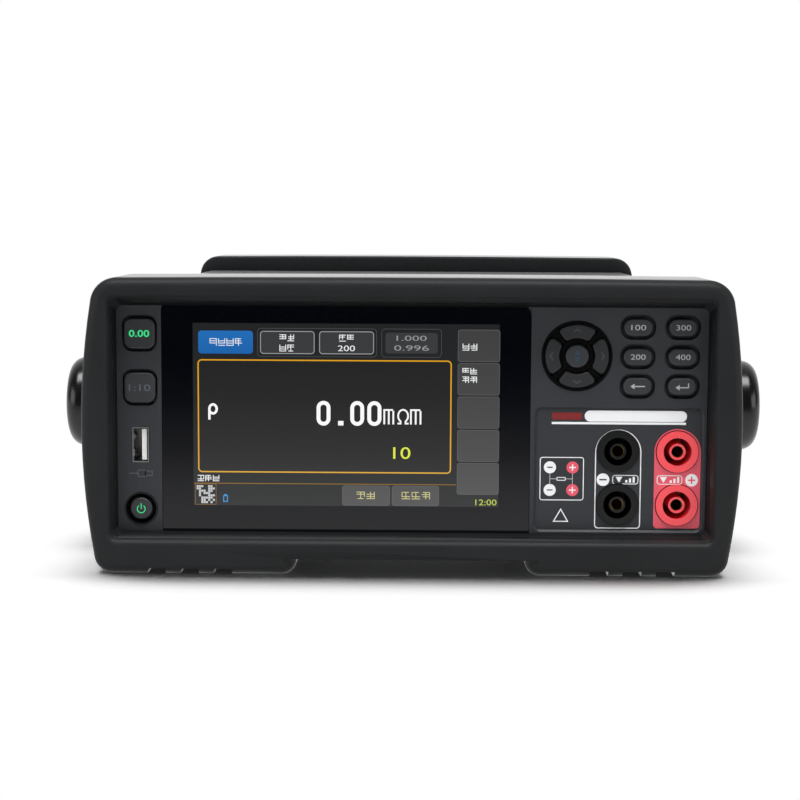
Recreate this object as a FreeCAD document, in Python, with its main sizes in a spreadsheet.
import FreeCAD, Part
import Sketcher
import os
import re

# Bench sheet resistance tester, millimetres. X runs to the right and Y to the back as one faces
# the screen, Z is up. The origin is on the floor, below the middle of the whole instrument.

SIZES = {
    # case of folded sheet steel
    "whole_depth": 350,
    "case_lift": 8.2,
    "sheet": 1.2,
    "cover_bend": 2,
    "tray_wall": 14,
    "tray_front_wall": 5,
    "sheet_fit": 0.1,
    "vent_width": 3,
    "vent_length": 26,
    "vent_pitch": 7,
    "vent_count": 12,
    "vent_start": 40,
    "vent_height": 52,
    "floor_vent_width": 60,
    # moulded bumper round each end of the case
    "bumper_depth": 40,
    "bumper_side": 7.6,
    "bumper_top": 7.3,
    "bumper_fit": 0.2,
    "side_bulge": 5.05,
    "top_crown": 0.5,
    "upper_corner": 9.3,
    "lower_corner": 6.5,
    "outer_edge": 3.6,
    "inner_edge": 1.2,
    "recess_depth": 12,
    "lip_side": 3.5,
    "lip_top": 2.7,
    "lip_bottom": 5.1,
    "flare_side": 1.3,
    "flare_top": 3.9,
    "flare_bottom": 1.1,
    "recess_corner": 2.4,
    "rim_edge": 0.8,
    "foot_gap": 80,
    "foot_gap_height": 5.7,
    "foot_end": 5,
    "tread_start": 65.8,
    "tread_pitch": 11.6,
    "tread_width": 6.5,
    "tread_depth": 2,
    "tread_count": 3,
    # front panel, measured from the sides, the bottom and the top of the case. The column of
    # keys, the screen and the round and oval keys beside it make up the width of the case.
    "panel_thickness": 3,
    "panel_corner": 2,
    "boss_length": 5.2,
    "boss_radius": 1.7,
    "boss_inset": 1.9,
    "board_thickness": 1.6,
    "board_width_left": 15,
    "board_margin": 2,
    "board_above_plate": 1,
    "board_inside": 4.7,
    "column_from_left": 11.7,
    "upper_key_drop": 12.6,
    "square_pitch": 19.1,
    "usb_raise": 1.2,
    "power_height": 13.1,
    "well_margin": 1.55,
    "window_bottom": 3.9,
    "window_drop": 2.2,
    "window_thickness": 1.8,
    "window_corner": 1.5,
    "window_set_back": 0.3,
    "window_fit": 0.15,
    "screen_width": 108,
    "screen_height": 64.8,
    "screen_side": 10.95,
    "screen_above": 6.6,
    "screen_below": 10.5,
    "screen_border": 1,
    "module_side": 6.35,
    "module_edge": 5.5,
    "module_thickness": 3.2,
    "module_well": 0.4,
    # keys: caps that stand proud of the panel, and the flange that holds each from behind
    "key_travel": 1,
    "key_proud": 1.2,
    "key_flange": 1.1,
    "key_flange_gap": 0.25,
    "key_edge": 0.6,
    "switch_width": 4.4,
    "switch_height": 1,
    "switch_gap": 0.2,
    "stem_radius": 1.6,
    "square_width": 10.9,
    "square_height": 10.6,
    "square_corner": 2.8,
    "square_well_width": 12.3,
    "square_well_height": 12.9,
    "square_well_corner": 3.5,
    "square_lap": 1.1,
    "oval_width": 10,
    "oval_height": 5.9,
    "oval_corner": 2.85,
    "oval_well_width": 12.5,
    "oval_well_height": 8.8,
    "oval_well_corner": 4.2,
    "oval_lap": 0.4,
    "oval_step": 15.7,
    "oval_outer": 12.5,
    "oval_drop": 9.5,
    "oval_pitch": 10.35,
    "ring_step": 21.3,
    "ring_margin": 3.8,
    "ring_drop": 19.7,
    "ring_radius": 12.4,
    "ring_fit": 0.1,
    "ring_rim": 0.9,
    "ring_proud": 0.25,
    "ring_dish": 0.6,
    "arrow_inner": 6.3,
    "arrow_outer": 11.15,
    "arrow_angle": 37,
    "arrow_corner": 1.3,
    "arrow_gap": 0.35,
    "arrow_gap_angle": 3,
    "arrow_lap": 0.7,
    "middle_radius": 4.05,
    "middle_gap": 0.3,
    "middle_lap": 0.75,
    "power_hole": 5.95,
    "power_ring_fit": 0.1,
    "power_ring_rim": 0.5,
    "power_ring_proud": 0.2,
    "power_dish_depth": 2.2,
    "power_cap": 3.9,
    "power_gap": 0.3,
    "power_lap": 0.8,
    "power_proud": 0.3,
    # storage socket in the key column
    "usb_opening_width": 5.1,
    "usb_opening_height": 11.8,
    "usb_wall": 0.4,
    "usb_depth": 14,
    "usb_gap": 0.2,
    "usb_tongue_width": 1.7,
    "usb_tongue_height": 10.9,
    "usb_tongue_side": 0.5,
    "usb_tongue_set_back": 1,
    # terminal plate and its four safety sockets for 4 mm plugs
    "plate_gap": 2.3,
    "plate_from_right": 5.2,
    "plate_bottom": 6.5,
    "plate_drop": 3.5,
    "plate_corner": 2,
    "plate_thickness": 1.2,
    "plate_set_back": 0.8,
    "plate_bevel": 0.7,
    "plate_fit": 0.1,
    "socket_step": 21,
    "socket_outer": 13.5,
    "socket_low": 15.5,
    "socket_pitch": 19,
    "socket_flange": 7.35,
    "socket_barrel": 6.5,
    "socket_mouth": 4.95,
    "socket_tube": 2.9,
    "socket_bore": 2,
    "socket_lip_gap": 0.15,
    "socket_length": 24,
    "socket_floor": 2.3,
    "drill_point": 1.2,
    "socket_tube_set_back": 0.6,
    "socket_hole_gap": 0.15,
    "contact_wall": 0.4,
    "contact_set_back": 0.9,
    "lug_length": 8,
    # boards and the power supply inside the case
    "board_lift": 6,
    "board_gap": 3,
    "board_spacing": 10.6,
    "main_board_rear": 37.5,
    "power_board_width": 58,
    "power_board_length": 150,
    "front_clearance": 34,
    "rear_clearance": 24,
    "standoff_radius": 3,
    "standoff_inset": 8,
    "core_width": 50,
    "core_height": 42,
    "core_thickness": 20,
    "core_leg": 10,
    "coil_overhang": 9,
    # rear panel and what is on it
    "rear_thickness": 1.5,
    "rear_fit": 0.3,
    "inlet_from_left": 38,
    "inlet_height": 46,
    "inlet_flange_width": 34,
    "inlet_flange_height": 42,
    "inlet_flange": 2.5,
    "inlet_body_width": 27.4,
    "inlet_body_height": 34,
    "inlet_body_depth": 21,
    "inlet_cavity_width": 24.4,
    "inlet_cavity_height": 16.6,
    "inlet_cavity_depth": 17,
    "inlet_cavity_corner": 4,
    "inlet_cavity_raise": 6,
    "pin_width": 4,
    "pin_thickness": 2,
    "pin_length": 12,
    "pin_spread": 7,
    "pin_offset": 2,
    "drawer_width": 23.6,
    "drawer_height": 7.6,
    "drawer_depth": 17,
    "drawer_gap": 0.3,
    "drawer_drop": 10.5,
    "drawer_lip": 1.2,
    "hole_gap": 0.2,
    "plug_flange": 1,
    "plug_height": 8.4,
    "plug_wall": 0.7,
    "plug_slope": 1.2,
    "plug_length": 6,
    "plug_flange_height": 12.5,
    "plug_flange_side": 7,
    "plug_block": 8,
    "insert_fit": 0.1,
    "insert_base": 1.6,
    "insert_full": 4.6,
    "contact_pitch": 2.77,
    "contact_row": 2.84,
    "contact_pin": 0.5,
    "contact_pin_length": 3.2,
    "contact_hole": 0.7,
    "contact_hole_depth": 3,
    "serial_width": 17,
    "serial_from_right": 34,
    "handler_width": 39,
    "handler_from_right": 86,
    "plug_row": 30,
    "earth_from_left": 70,
    "earth_height": 20,
    "earth_stud": 2,
    "earth_nut": 4.6,
    "earth_nut_length": 4,
    "earth_stud_length": 7.5,
    "earth_tail": 6,
    "screw_head": 2.8,
    "screw_head_height": 1.3,
    "screw_inset": 12,
    "cover_screw_height": 9,
    "cover_screw_start": 105,
    "cover_screw_pitch": 75,
    "cover_screw_count": 3,
    # carrying handle, folded under the case between the two bumpers
    "pivot_from_front": 69,
    "pivot_height": 45.3,
    "arm_gap": 1.2,
    "arm_thickness": 6,
    "hub_radius": 17,
    "cap_height": 9.7,
    "cap_round": 5.4,
    "cap_crown": 1,
    "grip_clearance": 18,
    "grip_width": 18,
    "grip_case_gap": 0.7,
    "grip_length": 140,
    "grip_wall": 1,
    "grip_round": 2.2,
    "floor_gap": 0.9,
    "arm_toe": 3,
    "boss_flange": 15,
    "boss_face_gap": 0.3,
    "spigot_radius": 6,
    "spigot_gap": 0.05,
    "spigot_short": 0.5,
}

# Sizes that follow from others. The case comes out 215 wide and 88 high, half a rack and two units.
WORKED_OUT = {
    "window_from_left": "(column_from_left + square_well_width / 2 + well_margin)",
    "oval_inner": "(oval_outer + oval_step)",
    "ring_from_right": "(oval_inner + ring_step)",
    "window_from_right": "(ring_from_right + ring_radius + ring_margin)",
    "case_width": "(window_from_left + screen_width + 2 * screen_side + window_from_right)",
    "case_height": "(window_bottom + screen_below + screen_height + screen_above + window_drop)",
    "lower_key_drop": "(upper_key_drop + square_pitch)",
    "usb_height": "((case_height - lower_key_drop + power_height) / 2 + usb_raise)",
    "plate_width": "(window_from_right - plate_gap - plate_from_right)",
    "plate_height": "(case_height - oval_drop - 2 * oval_pitch - oval_well_height / 2 - oval_lap"
                    " - plate_drop - plate_bottom)",
    "socket_inner": "(socket_outer + socket_step)",
    "case_length": "(whole_depth - 2 * recess_depth - panel_thickness - rear_thickness)",
    "main_board_width": "(case_width - 2 * sheet - 2 * board_gap - power_board_width - board_spacing)",
    "main_board_length": "(case_length - front_clearance - main_board_rear)",
    "grip_reach": "(pivot_from_front + grip_clearance)",
    "grip_thickness": "(case_lift - floor_gap - grip_case_gap)",
}

# Places that several pieces share, as expressions of the sizes
FRONT = "(-whole_depth / 2)"
REAR = "(whole_depth / 2)"
LEFT = "(-case_width / 2)"
RIGHT = "(case_width / 2)"
PANEL_FACE = "(-whole_depth / 2 + recess_depth)"
CASE_FRONT = "(-whole_depth / 2 + recess_depth + panel_thickness)"
CASE_REAR = "(whole_depth / 2 - recess_depth - rear_thickness)"
REAR_FACE = "(whole_depth / 2 - recess_depth)"
COLUMN = "(-case_width / 2 + column_from_left)"
BOARD_FACE = "(panel_thickness + boss_length)"
WINDOW_MIDDLE = "((window_from_left - window_from_right) / 2)"
WINDOW_CENTRE = "((case_height + window_bottom - window_drop) / 2)"
WINDOW_WIDTH = "(screen_width + 2 * screen_side)"
WINDOW_HEIGHT = "(screen_below + screen_height + screen_above)"
SCREEN_CENTRE = "(window_bottom + screen_below + screen_height / 2)"
PLATE_MIDDLE = "(case_width / 2 - plate_from_right - plate_width / 2)"
PLATE_CENTRE = "(plate_bottom + plate_height / 2)"
RING_X = "(case_width / 2 - ring_from_right)"
RING_Z = "(case_height - ring_drop)"
ARM_FACE = "(case_width / 2 + bumper_side + arm_gap)"
PIVOT_Z = "(case_lift + pivot_height)"

doc = FreeCAD.newDocument("sheet_resistance_tester")
sheet = doc.addObject("Spreadsheet::Sheet", "sizes")
for row, (alias, value) in enumerate(SIZES.items(), start=1):
    sheet.set(f"A{row}", alias)
    sheet.set(f"B{row}", str(value))
    sheet.setAlias(f"B{row}", alias)
doc.recompute()

pieces = []


# Helpers that tie the document's objects to the sheet

def bound(expression):
    """The expression with each size pointing to its cell."""
    def cell(match):
        word = match.group(0)
        if word in WORKED_OUT:
            return bound(WORKED_OUT[word])
        return "sizes." + word if word in SIZES else word
    return re.sub(r"[a-z][a-z_]*", cell, str(expression))


def number(expression):
    """The expression's value in millimetres."""
    return float(sheet.evalExpression(bound(expression)))


def whole(alias):
    """A count, as a whole number."""
    return round(number(alias))


def place(piece, x="0", y="0", z="0"):
    """Ties a piece's place to the sheet."""
    for axis, expression in zip("xyz", (x, y, z)):
        piece.setExpression(f"Placement.Base.{axis}", bound(expression))


def keep(piece, label):
    """Names a finished sub-part and lists it for the export."""
    piece.Label = label
    pieces.append(piece)
    return piece


def start_body(label, x="0", y="0", z="0"):
    body = doc.addObject("PartDesign::Body", label)
    place(body, x, y, z)
    return keep(body, label)


def start_sketch(body, plane, offset="0"):
    """A sketch on an origin plane of its body, moved by offset along the plane's normal.
    The normal of XZ_Plane points to -Y, that of YZ_Plane to +X and that of XY_Plane to +Z."""
    sketch = body.newObject("Sketcher::SketchObject", body.Name + "_sketch")
    base = [item for item in body.Origin.OriginFeatures if item.Role == plane][0]
    sketch.AttachmentSupport = [(base, "")]
    sketch.MapMode = "FlatFace"
    sketch.setExpression("AttachmentOffset.Base.z", bound(offset))
    return sketch


def add_outline(sketch, corners, arcs=None):
    """A closed outline through corners given as pairs of expressions. arcs maps the number of a
    side to its radius, as an expression, and 1 or -1 for an arc to the right or left of travel."""
    arcs = arcs or {}
    points = [FreeCAD.Vector(number(across), number(up), 0) for across, up in corners]
    sides = []
    for index, first in enumerate(points):
        last = points[(index + 1) % len(points)]
        if index in arcs:
            radius = number(arcs[index][0])
            chord = last - first
            across = FreeCAD.Vector(chord.y, -chord.x, 0).normalize() * arcs[index][1]
            rise = radius - max(radius ** 2 - chord.Length ** 2 / 4, 0) ** 0.5
            geometry = Part.Arc(first, (first + last) / 2 + across * rise, last)
        else:
            geometry = Part.LineSegment(first, last)
        sides.append(sketch.addGeometry(geometry, False))
    starts = []
    for side, first in zip(sides, points):
        forward = (sketch.getPoint(side, 1) - first).Length < 1e-5
        starts.append(1 if forward else 2)
    for index, side in enumerate(sides):
        following = (index + 1) % len(sides)
        sketch.addConstraint(Sketcher.Constraint(
            "Coincident", side, 3 - starts[index], sides[following], starts[following]))
        for kind, expression, value in zip(("DistanceX", "DistanceY"), corners[index], points[index]):
            held = sketch.addConstraint(Sketcher.Constraint(kind, -1, 1, side, starts[index], value))
            sketch.setExpression(f"Constraints[{held}]", bound(expression))
        if index in arcs:
            held = sketch.addConstraint(Sketcher.Constraint("Radius", side, number(arcs[index][0])))
            sketch.setExpression(f"Constraints[{held}]", bound(arcs[index][0]))


def add_rectangle(sketch, x, y, width, height, corner=None):
    """A rectangle about (x, y), with rounded corners where corner is given."""
    left = f"{x} - {width} / 2"
    right = f"{x} + {width} / 2"
    low = f"{y} - {height} / 2"
    high = f"{y} + {height} / 2"
    if corner is None:
        add_outline(sketch, [(left, low), (right, low), (right, high), (left, high)])
        return
    add_outline(
        sketch,
        [(f"{left} + {corner}", low), (f"{right} - {corner}", low),
         (right, f"{low} + {corner}"), (right, f"{high} - {corner}"),
         (f"{right} - {corner}", high), (f"{left} + {corner}", high),
         (left, f"{high} - {corner}"), (left, f"{low} + {corner}")],
        {side: (corner, 1) for side in (1, 3, 5, 7)})


def add_circle(sketch, x, y, radius):
    circle = sketch.addGeometry(Part.Circle(
        FreeCAD.Vector(number(x), number(y), 0), FreeCAD.Vector(0, 0, 1), number(radius)), False)
    for kind, expression in (("DistanceX", x), ("DistanceY", y)):
        held = sketch.addConstraint(Sketcher.Constraint(kind, -1, 1, circle, 3, number(expression)))
        sketch.setExpression(f"Constraints[{held}]", bound(expression))
    held = sketch.addConstraint(Sketcher.Constraint("Radius", circle, number(radius)))
    sketch.setExpression(f"Constraints[{held}]", bound(radius))


def pad(body, sketch, length, backwards=True, middle=False):
    """Extrudes a sketch. Backwards is against the plane's normal, which is +Y on XZ_Plane."""
    feature = body.newObject("PartDesign::Pad", body.Name + "_pad")
    feature.Profile = sketch
    feature.setExpression("Length", bound(length))
    feature.Reversed = backwards
    feature.Midplane = middle
    doc.recompute()
    return feature


def pocket(body, sketch, length=None, forwards=False, middle=False):
    """Cuts a sketch against its plane's normal, right through where no length is given."""
    before = body.Shape.Volume
    feature = body.newObject("PartDesign::Pocket", body.Name + "_pocket")
    feature.Profile = sketch
    if length is None:
        feature.Type = "ThroughAll"
    else:
        feature.setExpression("Length", bound(length))
    feature.Reversed = forwards
    feature.Midplane = middle
    doc.recompute()
    if body.Shape.Volume > before - 1e-6:
        raise ValueError(f"a pocket of {body.Label} cuts nothing")
    return feature


def revolve(body, sketch, axis="H_Axis"):
    feature = body.newObject("PartDesign::Revolution", body.Name + "_revolution")
    feature.Profile = sketch
    feature.ReferenceAxis = (sketch, [axis])
    feature.Angle = 360
    doc.recompute()
    return feature


def fillet(body, radius, chosen):
    """Rounds the edges of the body's last feature for which chosen(edge) holds."""
    tip = body.Tip
    names = [f"Edge{index}" for index, edge in enumerate(tip.Shape.Edges, start=1) if chosen(edge)]
    if not names:
        raise ValueError(f"no edge of {body.Label} to round")
    feature = body.newObject("PartDesign::Fillet", body.Name + "_fillet")
    feature.Base = (tip, names)
    feature.setExpression("Radius", bound(radius))
    doc.recompute()
    return feature


def chamfer(body, size, chosen):
    tip = body.Tip
    names = [f"Edge{index}" for index, edge in enumerate(tip.Shape.Edges, start=1) if chosen(edge)]
    feature = body.newObject("PartDesign::Chamfer", body.Name + "_chamfer")
    feature.Base = (tip, names)
    feature.setExpression("Size", bound(size))
    doc.recompute()
    return feature


def lies(edge, axis, value, room=0.01):
    """True where the whole edge lies at one value of an axis, given as X, Y or Z."""
    box = edge.BoundBox
    low = getattr(box, axis + "Min")
    high = getattr(box, axis + "Max")
    return abs(low - value) < room and abs(high - value) < room


def runs_along(edge, axis):
    """True for a straight edge parallel to an axis."""
    box = edge.BoundBox
    spans = {name: getattr(box, name + "Length") for name in "XYZ"}
    return spans[axis] > 0.1 and all(spans[name] < 0.01 for name in "XYZ" if name != axis)


# Bumpers: one moulding, used at both ends. Its outer face is at Y = 0 and it reaches to +Y.

def make_bumper(label):
    body = start_body(label)
    height = "(case_lift + case_height + bumper_top)"
    half = "(case_width / 2 + bumper_side - side_bulge)"
    side_radius = f"(({height} / 2) ^ 2 + side_bulge ^ 2) / (2 * side_bulge)"
    crown_radius = f"({half} ^ 2 + top_crown ^ 2) / (2 * top_crown)"
    outline = start_sketch(body, "XZ_Plane")
    add_outline(
        outline,
        [(f"-{half}", "0"), (half, "0"), (half, height), (f"-{half}", height)],
        {1: (side_radius, 1), 2: (crown_radius, 1), 3: (side_radius, 1)})
    pad(body, outline, "bumper_depth")
    top = number(height)
    fillet(body, "upper_corner", lambda edge: runs_along(edge, "Y") and lies(edge, "Z", top))
    fillet(body, "lower_corner", lambda edge: runs_along(edge, "Y") and lies(edge, "Z", 0))
    fillet(body, "outer_edge", lambda edge: lies(edge, "Y", 0))
    inner = number("bumper_depth")
    fillet(body, "inner_edge", lambda edge: lies(edge, "Y", inner) and edge.BoundBox.ZMax > top / 2)

    # flared recess in front of the panel
    lip_half = "(case_width / 2 - lip_side)"
    lip_low = "(case_lift + lip_bottom)"
    lip_high = "(case_lift + case_height - lip_top)"
    mouth = start_sketch(body, "XZ_Plane")
    add_outline(mouth, [
        (f"-{lip_half} - flare_side", f"{lip_low} - flare_bottom"),
        (f"{lip_half} + flare_side", f"{lip_low} - flare_bottom"),
        (f"{lip_half} + flare_side", f"{lip_high} + flare_top"),
        (f"-{lip_half} - flare_side", f"{lip_high} + flare_top")])
    seat = start_sketch(body, "XZ_Plane", "-recess_depth")
    add_outline(seat, [
        (f"-{lip_half}", lip_low), (lip_half, lip_low), (lip_half, lip_high), (f"-{lip_half}", lip_high)])
    before = body.Shape.Volume
    recess = body.newObject("PartDesign::SubtractiveLoft", label + "_recess")
    recess.Profile = mouth
    recess.Sections = [seat]
    recess.Ruled = True
    doc.recompute()
    if body.Shape.Volume > before - 1:
        raise ValueError("the recess cuts nothing")
    depth = number("recess_depth")
    fillet(body, "recess_corner", lambda edge: (
        abs(edge.BoundBox.YLength - depth) < 0.01 and abs(edge.BoundBox.YMin) < 0.01))
    low = number(f"{lip_low} - flare_bottom")
    high = number(f"{lip_high} + flare_top")
    fillet(body, "rim_edge", lambda edge: (
        lies(edge, "Y", 0) and edge.BoundBox.ZMin > low - 0.01 and edge.BoundBox.ZMax < high + 0.01
        and abs(edge.CenterOfMass.x) < number(f"{lip_half} + flare_side") + 0.01))

    # socket that the case slides into
    socket = start_sketch(body, "XZ_Plane", "-recess_depth")
    add_rectangle(socket, "0", "(case_lift + case_height / 2)",
                  "(case_width + 2 * bumper_fit)", "(case_height + 2 * bumper_fit)")
    pocket(body, socket)

    # the two feet: a raised stretch between them and three treads under each
    gap = start_sketch(body, "XZ_Plane")
    add_outline(gap, [
        ("-foot_gap / 2", "-foot_gap_height"), ("foot_gap / 2", "-foot_gap_height"),
        ("foot_gap / 2", "foot_gap_height"), ("-foot_gap / 2", "foot_gap_height")])
    pocket(body, gap)
    foot = number("foot_gap / 2")
    fillet(body, "foot_end", lambda edge: (
        lies(edge, "Z", 0) and runs_along(edge, "Y") and abs(abs(edge.CenterOfMass.x) - foot) < 0.01))
    treads = start_sketch(body, "XZ_Plane")
    for side in (-1, 1):
        for count in range(whole("tread_count")):
            add_rectangle(treads, f"{side} * (tread_start + {count} * tread_pitch)", "0",
                          "tread_width", "2 * tread_depth")
    pocket(body, treads)
    return body


front_bumper = make_bumper("front_bumper")
place(front_bumper, y=FRONT)
rear_bumper = make_bumper("rear_bumper")
rear_bumper.Placement = FreeCAD.Placement(
    FreeCAD.Vector(), FreeCAD.Rotation(FreeCAD.Vector(0, 0, 1), 180))
place(rear_bumper, y=REAR)


# Case: a folded cover over a shallow tray

def make_cover():
    body = start_body("case_cover", y=CASE_FRONT, z="case_lift")
    section = start_sketch(body, "XZ_Plane")
    add_outline(section, [
        (LEFT, "0"), (f"{LEFT} + sheet", "0"), (f"{LEFT} + sheet", "case_height - sheet"),
        (f"{RIGHT} - sheet", "case_height - sheet"), (f"{RIGHT} - sheet", "0"), (RIGHT, "0"),
        (RIGHT, "case_height"), (LEFT, "case_height")])
    pad(body, section, "case_length")
    top = number("case_height")
    fillet(body, "cover_bend", lambda edge: runs_along(edge, "Y") and lies(edge, "Z", top))
    vents = start_sketch(body, "YZ_Plane")
    for count in range(whole("vent_count")):
        add_rectangle(vents, f"case_length - vent_start - {count} * vent_pitch", "vent_height",
                      "vent_width", "vent_length")
    pocket(body, vents, "case_width + 2 * sheet", middle=True)


def make_tray():
    body = start_body("chassis_tray", y=CASE_FRONT, z="case_lift")
    width = "(case_width - 2 * sheet - 2 * sheet_fit)"
    block = start_sketch(body, "XY_Plane")
    add_rectangle(block, "0", "case_length / 2", width, "case_length")
    pad(body, block, "tray_wall", backwards=False)
    inside = start_sketch(body, "XY_Plane", "sheet")
    add_rectangle(inside, "0", "case_length / 2", f"({width} - 2 * sheet)", "(case_length - 2 * sheet)")
    pocket(body, inside, "tray_wall", forwards=True)
    step = start_sketch(body, "XY_Plane", "tray_front_wall")
    add_rectangle(step, "0", "0", f"({width} - 2 * sheet)", "3 * sheet")
    pocket(body, step, "tray_wall", forwards=True)
    vents = start_sketch(body, "XY_Plane")
    for count in range(whole("vent_count")):
        add_rectangle(vents, "0", f"case_length - vent_start - {count} * vent_pitch",
                      "floor_vent_width", "vent_width")
    pocket(body, vents, "2 * sheet", forwards=True)


make_cover()
make_tray()


# Keys, as groups of alike ones: name, distance across, height, both in the panel's frame

SQUARE_KEYS = [
    ("square_key_upper", COLUMN, "(case_height - upper_key_drop)"),
    ("square_key_lower", COLUMN, "(case_height - lower_key_drop)"),
]
OVAL_KEYS = [
    (f"oval_key_{side}_{row + 1}", f"(case_width / 2 - oval_{side})",
     f"(case_height - oval_drop - {row} * oval_pitch)")
    for side in ("inner", "outer") for row in range(3)
]
POWER = ("power_key", COLUMN, "power_height")
SOCKETS = [
    (name, f"(case_width / 2 - socket_{side})", f"(socket_low + {row} * socket_pitch)")
    for name, side, row in (
        ("black_lower", "inner", 0), ("black_upper", "inner", 1),
        ("red_lower", "outer", 0), ("red_upper", "outer", 1))
]


# Front panel

def make_panel():
    body = start_body("front_panel", y=PANEL_FACE, z="case_lift")
    plate = start_sketch(body, "XZ_Plane")
    add_rectangle(plate, "0", "case_height / 2", "case_width", "case_height", "panel_corner")
    pad(body, plate, "panel_thickness")

    window = start_sketch(body, "XZ_Plane")
    add_rectangle(window, WINDOW_MIDDLE, WINDOW_CENTRE, f"({WINDOW_WIDTH} + 2 * window_fit)",
                  f"({WINDOW_HEIGHT} + 2 * window_fit)", "window_corner")
    pocket(body, window, "window_thickness + window_set_back")
    opening = start_sketch(body, "XZ_Plane")
    add_rectangle(opening, WINDOW_MIDDLE, SCREEN_CENTRE, "(screen_width + 2 * screen_border)",
                  "(screen_height + 2 * screen_border)")
    pocket(body, opening)

    seat = start_sketch(body, "XZ_Plane")
    add_rectangle(seat, PLATE_MIDDLE, PLATE_CENTRE, "(plate_width + 2 * plate_fit)",
                  "(plate_height + 2 * plate_fit)", "plate_corner")
    pocket(body, seat, "plate_set_back + plate_thickness")
    left = number(f"{PLATE_MIDDLE} - plate_width / 2 - 2 * plate_fit")
    chamfer(body, "plate_bevel", lambda edge: (
        lies(edge, "Y", 0) and edge.BoundBox.XMin > left
        and edge.BoundBox.XMax < number(f"{RIGHT} - plate_from_right / 2")
        and edge.BoundBox.ZMax < number("plate_bottom + plate_height + board_above_plate")))

    holes = start_sketch(body, "XZ_Plane")
    for name, x, z in SQUARE_KEYS:
        add_rectangle(holes, x, z, "square_well_width", "square_well_height", "square_well_corner")
    for name, x, z in OVAL_KEYS:
        add_rectangle(holes, x, z, "oval_well_width", "oval_well_height", "oval_well_corner")
    for name, x, z in SOCKETS:
        add_circle(holes, x, z, "socket_barrel + socket_hole_gap")
    add_circle(holes, COLUMN, "power_height", "power_hole")
    add_circle(holes, RING_X, RING_Z, "ring_radius + ring_fit")
    add_rectangle(holes, COLUMN, "usb_height", "(usb_opening_width + 2 * usb_wall + 2 * usb_gap)",
                  "(usb_opening_height + 2 * usb_wall + 2 * usb_gap)")
    pocket(body, holes)

    # bosses behind the panel that carry the boards
    bosses = start_sketch(body, "XZ_Plane", "-panel_thickness")
    for x, z in BOSSES:
        add_circle(bosses, x, z, "boss_radius")
    pad(body, bosses, "boss_length")


# Boards behind the panel: centre across, centre height, width, height in the panel's frame

RIGHT_BOARD_LOW = "(plate_bottom + plate_height + board_above_plate)"
RIGHT_BOARD_HIGH = "(case_height - board_margin)"
FRONT_BOARDS = {
    "key_board_left": (
        COLUMN, "(case_height / 2)", "board_width_left", "(case_height - 2 * tray_front_wall)"),
    "display_board": (
        WINDOW_MIDDLE, SCREEN_CENTRE, f"({WINDOW_WIDTH} - 2 * window_set_back)", "screen_height"),
    "key_board_right": (
        "(case_width / 2 - board_margin - (window_from_right - board_inside) / 2)",
        f"(({RIGHT_BOARD_LOW} + {RIGHT_BOARD_HIGH}) / 2)",
        "(window_from_right - board_inside)", f"({RIGHT_BOARD_HIGH} - {RIGHT_BOARD_LOW})"),
}
BOSSES = [
    (COLUMN, "(case_height - (upper_key_drop + lower_key_drop) / 2)"),
    (COLUMN, "((case_height - lower_key_drop + usb_height) / 2)"),
    (COLUMN, "((usb_height + power_height) / 2)"),
]
for board in ("display_board", "key_board_right"):
    across, up, width, height = FRONT_BOARDS[board]
    for side in (-1, 1):
        for end in (-1, 1):
            BOSSES.append((f"({across} + {side} * ({width} / 2 - boss_inset))",
                           f"({up} + {end} * ({height} / 2 - boss_inset))"))


def make_front_boards():
    for label, (across, up, width, height) in FRONT_BOARDS.items():
        body = start_body(label, y=f"{PANEL_FACE} + {BOARD_FACE}", z="case_lift")
        plate = start_sketch(body, "XZ_Plane")
        add_rectangle(plate, across, up, width, height)
        pad(body, plate, "board_thickness")
        if label == "key_board_left":
            slot = start_sketch(body, "XZ_Plane")
            add_rectangle(slot, COLUMN, "usb_height", "(usb_opening_width + 2 * usb_wall + 2 * usb_gap)",
                          "(usb_opening_height + 2 * usb_wall + 2 * usb_gap)")
            pocket(body, slot)


# Display: cover glass in its recess of the panel, and the screen module behind it

def make_display():
    glass = start_body("display_window", y=f"{PANEL_FACE} + window_set_back", z="case_lift")
    face = start_sketch(glass, "XZ_Plane")
    add_rectangle(face, WINDOW_MIDDLE, WINDOW_CENTRE, WINDOW_WIDTH, WINDOW_HEIGHT, "window_corner")
    pad(glass, face, "window_thickness")

    module = start_body("display_module", y=CASE_FRONT, z="case_lift")
    frame = start_sketch(module, "XZ_Plane")
    add_rectangle(frame, WINDOW_MIDDLE, SCREEN_CENTRE, "(screen_width + 2 * module_side)",
                  "(screen_height + 2 * module_edge)")
    pad(module, frame, "module_thickness")
    well = start_sketch(module, "XZ_Plane")
    add_rectangle(well, WINDOW_MIDDLE, SCREEN_CENTRE, "screen_width", "screen_height")
    pocket(module, well, "module_well")


# Keys. Each has a cap through the panel, a flange behind it and a stem above its switch.

def finish_key(body, draw_cap, draw_flange, proud, stem=("0", "0"), corner=None):
    cap = start_sketch(body, "XZ_Plane", proud)
    draw_cap(cap)
    pad(body, cap, f"{proud} + panel_thickness + key_flange_gap")
    if corner:
        fillet(body, corner, lambda edge: runs_along(edge, "Y"))
    front = -number(proud)
    fillet(body, "key_edge", lambda edge: lies(edge, "Y", front))
    flange = start_sketch(body, "XZ_Plane", "-(panel_thickness + key_flange_gap)")
    draw_flange(flange)
    pad(body, flange, "key_flange")
    post = start_sketch(body, "XZ_Plane", "-(panel_thickness + key_flange_gap)")
    add_circle(post, stem[0], stem[1], "stem_radius")
    pad(body, post, f"({BOARD_FACE} - switch_height - key_travel - switch_gap"
                    " - panel_thickness - key_flange_gap)")


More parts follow.
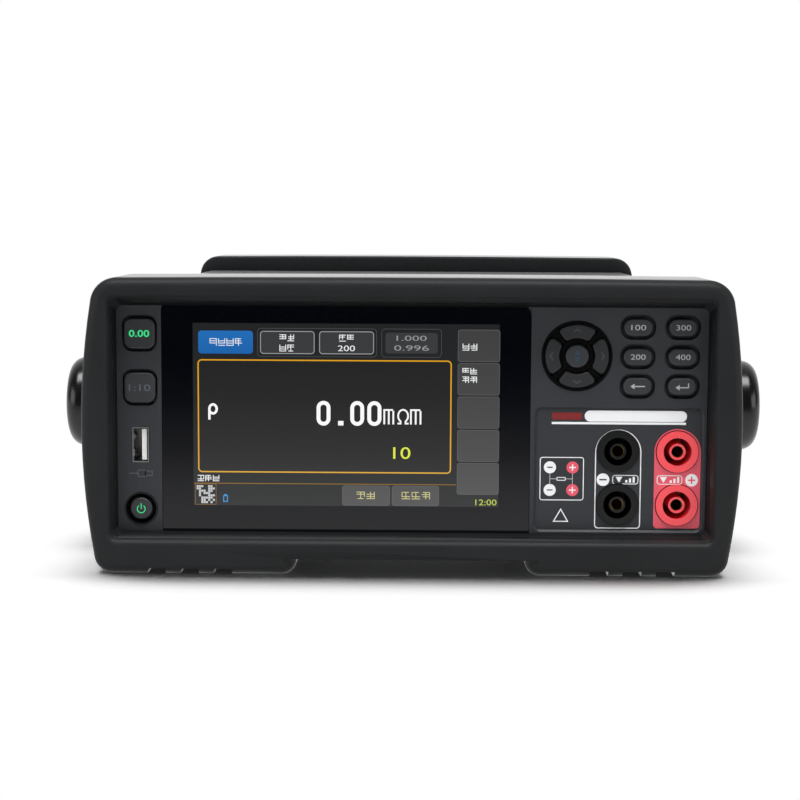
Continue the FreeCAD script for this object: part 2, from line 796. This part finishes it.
def make_rectangular_key(label, x, z, kind):
    body = start_body(label, x, PANEL_FACE, f"case_lift + {z}")
    finish_key(
        body,
        lambda cap: add_rectangle(cap, "0", "0", f"{kind}_width", f"{kind}_height", f"{kind}_corner"),
        lambda flange: add_rectangle(flange, "0", "0", f"({kind}_well_width + 2 * {kind}_lap)",
                                     f"({kind}_well_height + 2 * {kind}_lap)"),
        "key_proud")


def make_round_key(label, x, z, cap_radius, flange_radius, proud):
    body = start_body(label, x, PANEL_FACE, f"case_lift + {z}")
    finish_key(
        body,
        lambda cap: add_circle(cap, "0", "0", cap_radius),
        lambda flange: add_circle(flange, "0", "0", flange_radius),
        proud)


def turned(x, z, quarters):
    """A point of the arrow key at the right, turned about the ring's centre."""
    return [(x, z), (f"-({z})", x), (f"-({x})", f"-({z})"), (z, f"-({x})")][quarters]


def add_arrow(sketch, inner, outer, angle, quarters=0):
    """A piece of a ring between two radii, as wide as twice the angle."""
    corners = [
        (f"{inner} * cos({angle})", f"-{inner} * sin({angle})"),
        (f"{outer} * cos({angle})", f"-{outer} * sin({angle})"),
        (f"{outer} * cos({angle})", f"{outer} * sin({angle})"),
        (f"{inner} * cos({angle})", f"{inner} * sin({angle})")]
    add_outline(sketch, [turned(x, z, quarters) for x, z in corners], {1: (outer, 1), 3: (inner, -1)})


def make_arrow_key(label, quarters):
    body = start_body(label, RING_X, PANEL_FACE, f"case_lift + {RING_Z}")
    finish_key(
        body,
        lambda cap: add_arrow(cap, "arrow_inner", "arrow_outer", "arrow_angle", quarters),
        lambda flange: add_arrow(flange, "arrow_inner", "(arrow_outer + arrow_lap)",
                                 "(arrow_angle + arrow_gap_angle)", quarters),
        "key_proud",
        turned("(arrow_inner + arrow_outer) / 2", "0", quarters),
        "arrow_corner")


def make_keys():
    for name, x, z in SQUARE_KEYS:
        make_rectangular_key(name, x, z, "square")
    for name, x, z in OVAL_KEYS:
        make_rectangular_key(name, x, z, "oval")
    for quarters, side in enumerate(("right", "up", "left", "down")):
        make_arrow_key(f"arrow_key_{side}", quarters)
    make_round_key("middle_key", RING_X, RING_Z, "middle_radius",
                   "(middle_radius + middle_lap)", "key_proud")
    make_round_key(*POWER, "power_cap", "(power_cap + power_lap)", "power_proud")


def make_rings():
    """The round inserts of the panel that the arrow keys and the power key stand in."""
    ring = start_body("arrow_ring", RING_X, PANEL_FACE, f"case_lift + {RING_Z}")
    section = start_sketch(ring, "YZ_Plane")
    hole = "(middle_radius + middle_gap)"
    add_outline(section, [
        ("-ring_proud", "ring_radius"), ("-ring_proud", "(ring_radius - ring_rim)"),
        ("ring_dish", "(ring_radius - ring_rim)"), ("ring_dish", hole),
        ("panel_thickness", hole), ("panel_thickness", "ring_radius")])
    revolve(ring, section)
    opening = start_sketch(ring, "XZ_Plane", "2 * ring_proud")
    add_arrow(opening, "(arrow_inner - arrow_gap)", "(arrow_outer + arrow_gap)",
              "(arrow_angle + arrow_gap_angle)")
    cut = pocket(ring, opening)
    openings = ring.newObject("PartDesign::PolarPattern", "arrow_openings")
    openings.Originals = [cut]
    openings.Axis = ([item for item in ring.Origin.OriginFeatures if item.Role == "Y_Axis"][0], [""])
    openings.Angle = 360
    openings.Occurrences = 4
    ring.Tip = openings
    doc.recompute()

    ring = start_body("power_ring", COLUMN, PANEL_FACE, "case_lift + power_height")
    section = start_sketch(ring, "YZ_Plane")
    outside = "(power_hole - power_ring_fit)"
    hole = "(power_cap + power_gap)"
    add_outline(section, [
        ("-power_ring_proud", outside), ("-power_ring_proud", f"({outside} - power_ring_rim)"),
        ("power_dish_depth", hole), ("panel_thickness", hole), ("panel_thickness", outside)])
    revolve(ring, section)


def make_usb():
    shell = start_body("usb_shell", COLUMN, PANEL_FACE, "case_lift + usb_height")
    outside = start_sketch(shell, "XZ_Plane")
    add_rectangle(outside, "0", "0", "(usb_opening_width + 2 * usb_wall)",
                  "(usb_opening_height + 2 * usb_wall)")
    pad(shell, outside, "usb_depth")
    inside = start_sketch(shell, "XZ_Plane")
    add_rectangle(inside, "0", "0", "usb_opening_width", "usb_opening_height")
    pocket(shell, inside, "usb_depth - 2 * usb_wall")

    side = "(usb_opening_width / 2 - usb_tongue_side - usb_tongue_width / 2)"
    tongue = start_body("usb_tongue", f"{COLUMN} + {side}", f"{PANEL_FACE} + usb_tongue_set_back",
                        "case_lift + usb_height")
    blade = start_sketch(tongue, "XZ_Plane")
    add_rectangle(blade, "0", "0", "usb_tongue_width", "usb_tongue_height")
    pad(tongue, blade, "usb_depth - 2 * usb_wall - usb_tongue_set_back")


# Terminals

def make_terminals():
    plate = start_body("terminal_plate", y=f"{PANEL_FACE} + plate_set_back", z="case_lift")
    face = start_sketch(plate, "XZ_Plane")
    add_rectangle(face, PLATE_MIDDLE, PLATE_CENTRE, "plate_width", "plate_height", "plate_corner")
    for name, x, z in SOCKETS:
        add_circle(face, x, z, "socket_barrel + socket_hole_gap")
    pad(plate, face, "plate_thickness")

    for name, x, z in SOCKETS:
        socket = start_body(f"socket_{name}", x, f"{PANEL_FACE} + plate_set_back", f"case_lift + {z}")
        section = start_sketch(socket, "YZ_Plane")
        sleeve = "(socket_bore + contact_wall)"
        floor = "(socket_length - socket_floor)"
        tube = "(socket_tube_set_back - plate_set_back)"
        mouth = f"({tube} + contact_set_back)"
        lip = "(socket_bore + socket_lip_gap)"
        add_outline(section, [
            ("-plate_set_back", "socket_mouth"), ("-plate_set_back", "socket_flange"),
            ("0", "socket_flange"), ("0", "socket_barrel"), ("socket_length", "socket_barrel"),
            ("socket_length", sleeve), (mouth, sleeve), (mouth, lip), (tube, lip), (tube, "socket_tube"),
            (floor, "socket_tube"), (floor, "socket_mouth")])
        revolve(socket, section)

        contact = start_body(f"contact_{name}", x, f"{PANEL_FACE} + plate_set_back", f"case_lift + {z}")
        section = start_sketch(contact, "YZ_Plane")
        lug = "(socket_bore / 2)"
        add_outline(section, [
            (mouth, "socket_bore"), (mouth, sleeve), ("socket_length", sleeve), ("socket_length", lug),
            ("(socket_length + lug_length)", lug), ("(socket_length + lug_length)", "0"),
            (f"({floor} + drill_point)", "0"), (floor, "socket_bore")])
        revolve(contact, section)


# Groups of small alike pieces

def make_group(label, members):
    group = doc.addObject("Part::Compound", label)
    group.Links = members
    return keep(group, label)


def make_box(label, low, size):
    """A box from its low corner and its lengths along X, Y and Z."""
    box = doc.addObject("Part::Box", label)
    for name, expression in zip(("Length", "Width", "Height"), size):
        box.setExpression(name, bound(expression))
    place(box, *low)
    return box


def make_switches():
    places = [(x, z) for name, x, z in SQUARE_KEYS + OVAL_KEYS + [POWER]]
    places.append((RING_X, RING_Z))
    for quarters in range(4):
        x, z = turned("(arrow_inner + arrow_outer) / 2", "0", quarters)
        places.append((f"({RING_X} + {x})", f"({RING_Z} + {z})"))
    make_group("key_switches", [
        make_box("switch", (f"{x} - switch_width / 2",
                            f"{PANEL_FACE} + {BOARD_FACE} - switch_height",
                            f"case_lift + {z} - switch_width / 2"),
                 ("switch_width", "switch_height", "switch_width"))
        for x, z in places])


# Inside the case

TRAY_FLOOR = "(case_lift + sheet)"
BOARD_UNDER = "(case_lift + sheet + board_lift)"
MAIN_LEFT = "(-case_width / 2 + sheet + board_gap)"
POWER_RIGHT = "(case_width / 2 - sheet - board_gap)"


def make_inside():
    boards = {
        "main_board": (MAIN_LEFT, f"{CASE_FRONT} + front_clearance", "main_board_width",
                       "main_board_length"),
        "power_board": (f"{POWER_RIGHT} - power_board_width",
                        f"{CASE_REAR} - rear_clearance - power_board_length",
                        "power_board_width", "power_board_length"),
    }
    legs = []
    for label, (x, y, width, length) in boards.items():
        keep(make_box(label, (x, y, BOARD_UNDER), (width, length, "board_thickness")), label)
        for across in ("standoff_inset", f"({width} - standoff_inset)"):
            for along in ("standoff_inset", f"({length} - standoff_inset)"):
                leg = doc.addObject("Part::Cylinder", "standoff")
                leg.setExpression("Radius", bound("standoff_radius"))
                leg.setExpression("Height", bound("board_lift"))
                place(leg, f"{x} + {across}", f"{y} + {along}", TRAY_FLOOR)
                legs.append(leg)
    make_group("standoffs", legs)

    body = start_body(
        "transformer", f"{POWER_RIGHT} - power_board_width / 2",
        f"{CASE_REAR} - rear_clearance - power_board_length - board_gap - coil_overhang - core_thickness",
        TRAY_FLOOR)
    core = start_sketch(body, "XZ_Plane")
    add_rectangle(core, "0", "core_height / 2", "core_width", "core_height")
    pad(body, core, "core_thickness")
    coil = start_sketch(body, "XZ_Plane", "coil_overhang")
    add_rectangle(coil, "0", "core_height / 2", "(core_width - 2 * core_leg)",
                  "(core_height - core_leg)", "outer_edge")
    pad(body, coil, "core_thickness + 2 * coil_overhang")


# Rear panel and the connectors on it. Their bodies start at the panel's outer face.

INLET = ("(-case_width / 2 + inlet_from_left)", "inlet_height")
EARTH = ("(-case_width / 2 + earth_from_left)", "earth_height")
PLUGS = {
    "serial_connector": ("(case_width / 2 - serial_from_right)", "plug_row", "serial_width"),
    "handler_connector": ("(case_width / 2 - handler_from_right)", "plug_row", "handler_width"),
}


def add_plug_shape(sketch, width, height):
    """The outline of a D-shaped plug, wide at the top."""
    add_outline(sketch, [
        (f"-{width} / 2 + plug_slope", f"-{height} / 2"), (f"{width} / 2 - plug_slope", f"-{height} / 2"),
        (f"{width} / 2", f"{height} / 2"), (f"-{width} / 2", f"{height} / 2")])


def make_rear():
    body = start_body("rear_panel", y=CASE_REAR, z="case_lift")
    plate = start_sketch(body, "XZ_Plane")
    add_rectangle(plate, "0", "case_height / 2", "(case_width - 2 * rear_fit)",
                  "(case_height - 2 * rear_fit)")
    pad(body, plate, "rear_thickness")
    holes = start_sketch(body, "XZ_Plane")
    add_rectangle(holes, *INLET, "(inlet_body_width + 2 * hole_gap)", "(inlet_body_height + 2 * hole_gap)")
    for x, z, width in PLUGS.values():
        add_rectangle(holes, x, z, f"({width} + 2 * hole_gap)", "(plug_height + 2 * hole_gap)")
    add_circle(holes, *EARTH, "earth_stud + hole_gap")
    pocket(body, holes)

    inlet = start_body("power_inlet", INLET[0], REAR_FACE, f"case_lift + {INLET[1]}")
    flange = start_sketch(inlet, "XZ_Plane", "-inlet_flange")
    add_rectangle(flange, "0", "0", "inlet_flange_width", "inlet_flange_height", "inlet_cavity_corner")
    pad(inlet, flange, "inlet_flange", backwards=False)
    block = start_sketch(inlet, "XZ_Plane")
    add_rectangle(block, "0", "0", "inlet_body_width", "inlet_body_height")
    pad(inlet, block, "inlet_body_depth", backwards=False)
    cavity = start_sketch(inlet, "XZ_Plane", "-inlet_flange")
    half = "(inlet_cavity_width / 2)"
    low = "(inlet_cavity_raise - inlet_cavity_height / 2)"
    high = "(inlet_cavity_raise + inlet_cavity_height / 2)"
    add_outline(cavity, [
        (f"-{half}", low), (half, low), (half, f"{high} - inlet_cavity_corner"),
        (f"{half} - inlet_cavity_corner", high), (f"-{half} + inlet_cavity_corner", high),
        (f"-{half}", f"{high} - inlet_cavity_corner")])
    pocket(inlet, cavity, "inlet_cavity_depth", forwards=True)
    slot = start_sketch(inlet, "XZ_Plane", "-inlet_flange")
    add_rectangle(slot, "0", "-drawer_drop", "(drawer_width + 2 * drawer_gap)",
                  "(drawer_height + 2 * drawer_gap)")
    pocket(inlet, slot, "drawer_depth + drawer_gap", forwards=True)

    floor = f"{REAR_FACE} + inlet_flange - inlet_cavity_depth"
    pins = []
    for across, up in (("-pin_spread", "-pin_offset"), ("pin_spread", "-pin_offset"), ("0", "pin_offset")):
        pins.append(make_box(
            "pin",
            (f"{INLET[0]} + {across} - pin_thickness / 2", floor,
             f"case_lift + {INLET[1]} + inlet_cavity_raise + {up} - pin_width / 2"),
            ("pin_thickness", "pin_length", "pin_width")))
    make_group("inlet_pins", pins)

    drawer = start_body("fuse_drawer", INLET[0], f"{REAR_FACE} + inlet_flange",
                        f"case_lift + {INLET[1]} - drawer_drop")
    front = start_sketch(drawer, "XZ_Plane")
    add_rectangle(front, "0", "0", "drawer_width", "drawer_height")
    pad(drawer, front, "drawer_depth", backwards=False)
    lip = start_sketch(drawer, "XZ_Plane")
    add_rectangle(lip, "0", "(drawer_height / 2 - drawer_lip)", "drawer_width / 2", "drawer_lip")
    pad(drawer, lip, "drawer_lip")

    for label, (x, z, width) in PLUGS.items():
        plug = start_body(label, x, REAR_FACE, f"case_lift + {z}")
        plate = start_sketch(plug, "XZ_Plane")
        add_rectangle(plate, "0", "0", f"({width} + 2 * plug_flange_side)", "plug_flange_height", "plug_flange")
        pad(plug, plate, "plug_flange")
        shell = start_sketch(plug, "XZ_Plane")
        add_plug_shape(shell, width, "plug_height")
        pad(plug, shell, "plug_length")
        hollow = start_sketch(plug, "XZ_Plane", "-plug_length")
        add_plug_shape(hollow, f"({width} - 2 * plug_wall)", "(plug_height - 2 * plug_wall)")
        pocket(plug, hollow, "plug_length - plug_wall", forwards=True)
        block = start_sketch(plug, "XZ_Plane")
        add_rectangle(block, "0", "0", width, "plug_height")
        pad(plug, block, "plug_block", backwards=False)

    # insulators inside the two shells: pins on the serial one, sockets in the handler's
    for name, longer_row in (("serial", 5), ("handler", 13)):
        x, z, width = PLUGS[f"{name}_connector"]
        insert = start_body(f"{name}_insert", x, f"{REAR_FACE} + plug_wall", f"case_lift + {z}")
        block = start_sketch(insert, "XZ_Plane")
        add_plug_shape(block, f"({width} - 2 * plug_wall - 2 * insert_fit)",
                       "(plug_height - 2 * plug_wall - 2 * insert_fit)")
        pad(insert, block, "insert_base" if name == "serial" else "insert_full")
        depth = "-insert_base" if name == "serial" else "-insert_full"
        contacts = start_sketch(insert, "XZ_Plane", depth)
        radius = "contact_pin" if name == "serial" else "contact_hole"
        for count, up in ((longer_row, "contact_row / 2"), (longer_row - 1, "-contact_row / 2")):
            for index in range(count):
                add_circle(contacts, f"({index} - ({count} - 1) / 2) * contact_pitch", up, radius)
        if name == "serial":
            pad(insert, contacts, "contact_pin_length")
        else:
            pocket(insert, contacts, "contact_hole_depth", forwards=True)

    earth = start_body("earth_terminal", EARTH[0], REAR_FACE, f"case_lift + {EARTH[1]}")
    section = start_sketch(earth, "YZ_Plane")
    add_outline(section, [
        ("-earth_tail", "0"), ("-earth_tail", "earth_stud"), ("0", "earth_stud"), ("0", "earth_nut"),
        ("earth_nut_length", "earth_nut"), ("earth_nut_length", "earth_stud"),
        ("earth_stud_length", "earth_stud"), ("earth_stud_length", "0")])
    revolve(earth, section)


def make_screw(x, y, z, axis, angle):
    screw = doc.addObject("Part::Cone", "screw_head")
    screw.setExpression("Radius1", bound("screw_head"))
    screw.setExpression("Radius2", bound("screw_head - screw_head_height / 2"))
    screw.setExpression("Height", bound("screw_head_height"))
    screw.Placement = FreeCAD.Placement(FreeCAD.Vector(), FreeCAD.Rotation(axis, angle))
    place(screw, x, y, z)
    return screw


def make_screws():
    rear = []
    for x in (f"{LEFT} + screw_inset", f"{RIGHT} - screw_inset"):
        for z in ("case_lift + screw_inset", "case_lift + case_height - screw_inset"):
            rear.append(make_screw(x, REAR_FACE, z, FreeCAD.Vector(1, 0, 0), -90))
    make_group("rear_screws", rear)
    cover = []
    for side, face in ((-1, LEFT), (1, RIGHT)):
        for count in range(whole("cover_screw_count")):
            cover.append(make_screw(face, f"{FRONT} + cover_screw_start + {count} * cover_screw_pitch",
                                    "case_lift + cover_screw_height", FreeCAD.Vector(0, 1, 0), side * 90))
    make_group("cover_screws", cover)


# Carrying handle and its pivots. Their bodies start at the pivot axis.

PIVOT_Y = "(-whole_depth / 2 + pivot_from_front)"
GRIP_DROP = "(pivot_height + case_lift - floor_gap - grip_thickness / 2)"


def make_handle():
    handle = start_body("handle_frame", y=PIVOT_Y, z=PIVOT_Z)
    bar = start_sketch(handle, "YZ_Plane")
    add_rectangle(bar, "grip_reach", f"-{GRIP_DROP}", "(grip_width - 2 * grip_wall)",
                  "(grip_thickness - 2 * grip_wall)")
    pad(handle, bar, f"2 * ({ARM_FACE} + arm_thickness)", backwards=False, middle=True)
    reach = f"sqrt(grip_reach ^ 2 + {GRIP_DROP} ^ 2)"
    for side in (1, -1):
        inner = ARM_FACE if side > 0 else f"-{ARM_FACE}"
        arm = start_sketch(handle, "YZ_Plane", inner)
        low = f"(-{GRIP_DROP} - grip_thickness / 2)"
        add_outline(arm, [
            (f"-hub_radius * {GRIP_DROP} / {reach}", f"-hub_radius * grip_reach / {reach}"),
            ("(grip_reach - grip_width / 2)", low),
            ("(grip_reach + grip_width / 2 - arm_toe)", low),
            ("(grip_reach + grip_width / 2)", f"({low} + arm_toe)"),
            ("(grip_reach + grip_width / 2)", f"({low} + grip_thickness)"),
            (f"hub_radius * {GRIP_DROP} / {reach}", f"hub_radius * grip_reach / {reach}")])
        pad(handle, arm, "arm_thickness", backwards=side < 0)
        hub = start_sketch(handle, "YZ_Plane", inner)
        add_circle(hub, "0", "0", "hub_radius")
        pad(handle, hub, "arm_thickness", backwards=side < 0)
    bore = start_sketch(handle, "YZ_Plane")
    add_circle(bore, "0", "0", "spigot_radius + spigot_gap")
    pocket(handle, bore, f"2 * ({ARM_FACE} + 2 * arm_thickness)", middle=True)

    grip = start_body("handle_grip", y=f"{PIVOT_Y} + grip_reach", z=f"{PIVOT_Z} - {GRIP_DROP}")
    outside = start_sketch(grip, "YZ_Plane")
    add_rectangle(outside, "0", "0", "grip_width", "grip_thickness", "grip_round")
    add_rectangle(outside, "0", "0", "(grip_width - 2 * grip_wall)", "(grip_thickness - 2 * grip_wall)")
    pad(grip, outside, "grip_length", backwards=False, middle=True)

    for side, name in ((1, "right"), (-1, "left")):
        turn = FreeCAD.Placement(FreeCAD.Vector(), FreeCAD.Rotation(FreeCAD.Vector(0, 0, 1), 90 - 90 * side))
        cap = start_body(f"hub_cap_{name}")
        cap.Placement = turn
        place(cap, f"{side} * ({ARM_FACE} + arm_thickness)", PIVOT_Y, PIVOT_Z)
        section = start_sketch(cap, "XY_Plane")
        flat = "(hub_radius - cap_round)"
        add_outline(section, [
            ("0", "0"), ("(cap_height - cap_crown)", "0"), ("cap_height", "0"), ("(cap_height - cap_crown)", flat),
            ("(cap_height - cap_crown - cap_round)", "hub_radius"), ("0", "hub_radius")],
            {2: (f"({flat} ^ 2 + cap_crown ^ 2) / (2 * cap_crown)", 1), 3: ("cap_round", 1)})
        revolve(cap, section)

        pivot = start_body(f"pivot_{name}")
        pivot.Placement = turn
        place(pivot, f"{side} * case_width / 2", PIVOT_Y, PIVOT_Z)
        section = start_sketch(pivot, "XY_Plane")
        seat = "(bumper_side + arm_gap - boss_face_gap)"
        end = "(bumper_side + arm_gap + arm_thickness - spigot_short)"
        add_outline(section, [
            ("0", "0"), (end, "0"), (end, "spigot_radius"), (seat, "spigot_radius"),
            (seat, "boss_flange"), ("0", "boss_flange")])
        revolve(pivot, section)


make_panel()
make_front_boards()
make_display()
make_keys()
make_rings()
make_usb()
make_terminals()
make_switches()
make_inside()
make_rear()
make_screws()
make_handle()

doc.recompute()
for item in doc.Objects:
    if "Invalid" in item.State or "Error" in item.State:
        raise ValueError(f"{item.Name} is {item.State}")
os.makedirs("parts", exist_ok=True)
for piece in pieces:
    shape = piece.Shape
    if shape.isNull() or not shape.isValid():
        raise ValueError(f"{piece.Label} has no valid shape")
    shape.exportStep(f"parts/{piece.Label}.step")
